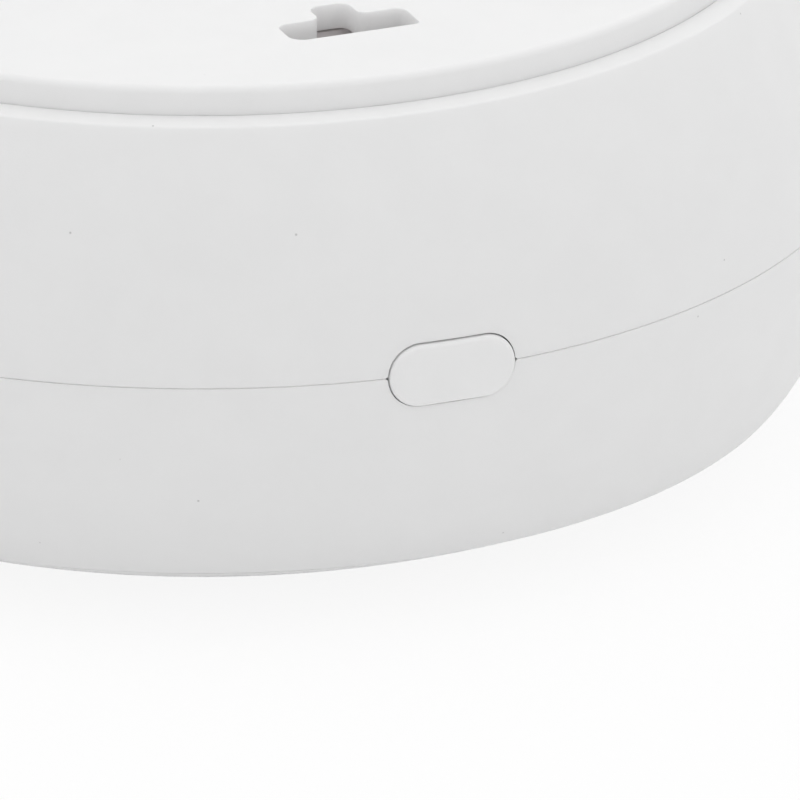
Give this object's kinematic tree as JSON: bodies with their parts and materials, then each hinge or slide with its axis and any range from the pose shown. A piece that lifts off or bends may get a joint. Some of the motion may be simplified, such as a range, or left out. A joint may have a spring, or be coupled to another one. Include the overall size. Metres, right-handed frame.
{
  "type": "temperature humidity sensor",
  "caption": "Round white battery sensor for temperature and humidity, with a raised rear battery door, a push button across its side seam and vents opposite.",
  "frame": {"origin": "centre of the flat front face, which the sensor lies on", "axes": "+Z from the front face to the battery door on the rear, -Y towards the button"},
  "size_m": [0.06, 0.0602, 0.0262],
  "materials": {
    "shell_white": "fine matte moulded texture",
    "door_white": "fine matte moulded texture",
    "button_white": "fine matte moulded texture",
    "latch_grey": "plain moulded acetal",
    "tray_white": "plain moulded",
    "foam_grey": "open-cell foam",
    "cell_can": "printed sleeve over steel, bare ends",
    "contact_steel": "nickel-plated spring steel",
    "board_green": "solder-masked laminate",
    "chip_black": "moulded epoxy",
    "shield_steel": "tinned sheet",
    "crystal_can": "plated lid",
    "chip_tan": "sintered body",
    "capacitor_can": "sleeved aluminium",
    "led_lens": "clear potted",
    "pipe_clear": "frosted clear polycarbonate",
    "gasket_grey": "closed-cell foam",
    "mesh_grey": "woven dust mesh",
    "pin_gold": "gold flash",
    "screw_steel": "zinc-plated"
  },
  "bodies": {
    "housing": {"rear_shell": "shell_white", "front_shell": "shell_white", "front_cap": "shell_white", "battery_tray": "tray_white", "battery_a": "cell_can", "battery_b": "cell_can", "contact_positive": "contact_steel", "contact_negative": "contact_steel", "contact_bridge": "contact_steel", "main_board": "board_green", "controller": "chip_black", "shield_can": "shield_steel", "crystal": "crystal_can", "big_capacitor": "capacitor_can", "small_chips": "chip_tan", "indicator_led": "led_lens", "antenna": "contact_steel", "light_pipe": "pipe_clear", "switch_body": "chip_black", "button_guide": "tray_white", "sensor_board": "board_green", "sensor_chip": "chip_black", "sensor_gasket": "gasket_grey", "vent_mesh": "mesh_grey", "board_header": "chip_black", "header_pins": "pin_gold", "tray_screws": "screw_steel"},
    "door": {"battery_door": "door_white", "door_latch": "latch_grey", "door_foam": "foam_grey"},
    "button": {"button_cap": "button_white"},
    "plunger": {"switch_plunger": "chip_black"}
  },
  "joints": [
    {"name": "door_swing", "type": "hinge", "parent": "housing", "child": "door", "pos_m": [0, 0.02608, 0.0249], "axis": [-1, 0, 0], "range_deg": [0, 60], "deforming": ["door_latch"]},
    {"name": "button_press", "type": "slide", "parent": "housing", "child": "button", "axis": [0, 1, 0], "range_m": [0, 0.0004], "stiffness_N_per_m": 1500},
    {"name": "plunger_press", "type": "slide", "parent": "housing", "child": "plunger", "axis": [0, 1, 0], "range_m": [0, 0.0004]}
  ],
  "couplings": [
    {"joint": "plunger_press", "follows": "button_press", "ratio": 1}
  ]
}
